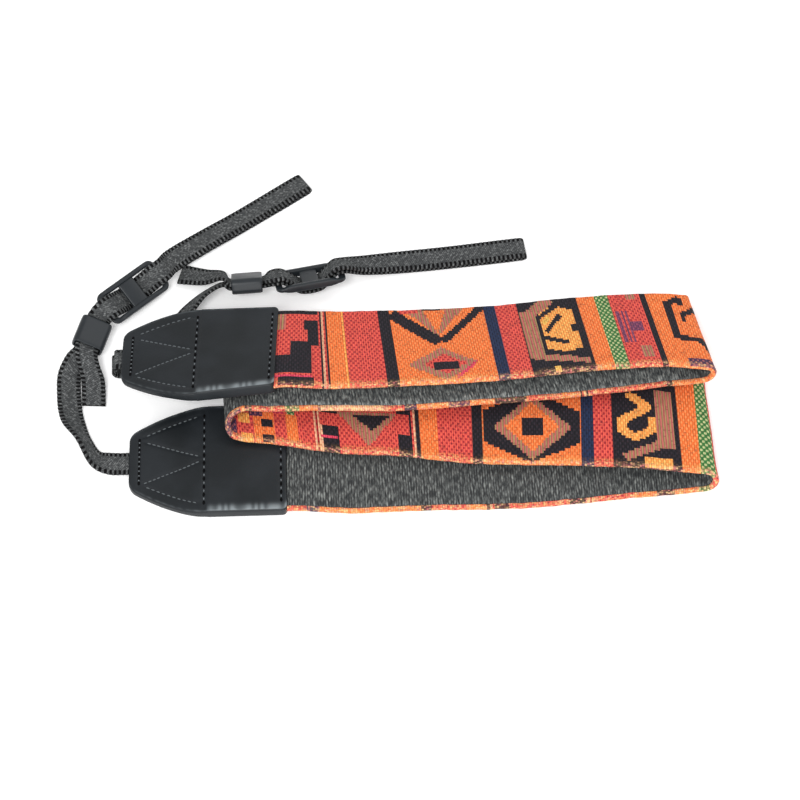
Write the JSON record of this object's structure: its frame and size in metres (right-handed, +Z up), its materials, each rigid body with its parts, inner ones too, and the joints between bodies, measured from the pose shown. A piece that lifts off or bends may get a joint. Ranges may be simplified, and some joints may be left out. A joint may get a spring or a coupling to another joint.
{
  "type": "camera strap",
  "caption": "Wide woven camera strap folded to and fro, with leather ends, narrow looped webbings, sliding buckles and keepers.",
  "frame": {"origin": "middle of the bounding box at its bottom, on the surface that the strap rests on", "axes": "+X along the folded band towards its right folds, +Y away from the near edges of the folds, +Z up"},
  "size_m": [0.2734, 0.1678, 0.0288],
  "materials": {
    "woven_cloth": "thick jacquard weave in orange, coral, black, navy, green and cream",
    "backing_cloth": "ribbed plain weave, dark grey",
    "leather": "smooth, slight sheen, stitched",
    "webbing": "twill webbing with beaded edges",
    "plastic": "semi-gloss moulded"
  },
  "bodies": {
    "root": {"woven_face": "woven_cloth", "backing": "backing_cloth", "leather_tab_a": "leather", "leather_tab_b": "leather", "webbing_a": "webbing", "webbing_b": "webbing", "keeper_a": "plastic", "keeper_b": "plastic", "buckle_a": "plastic", "buckle_b": "plastic"}
  },
  "joints": []
}
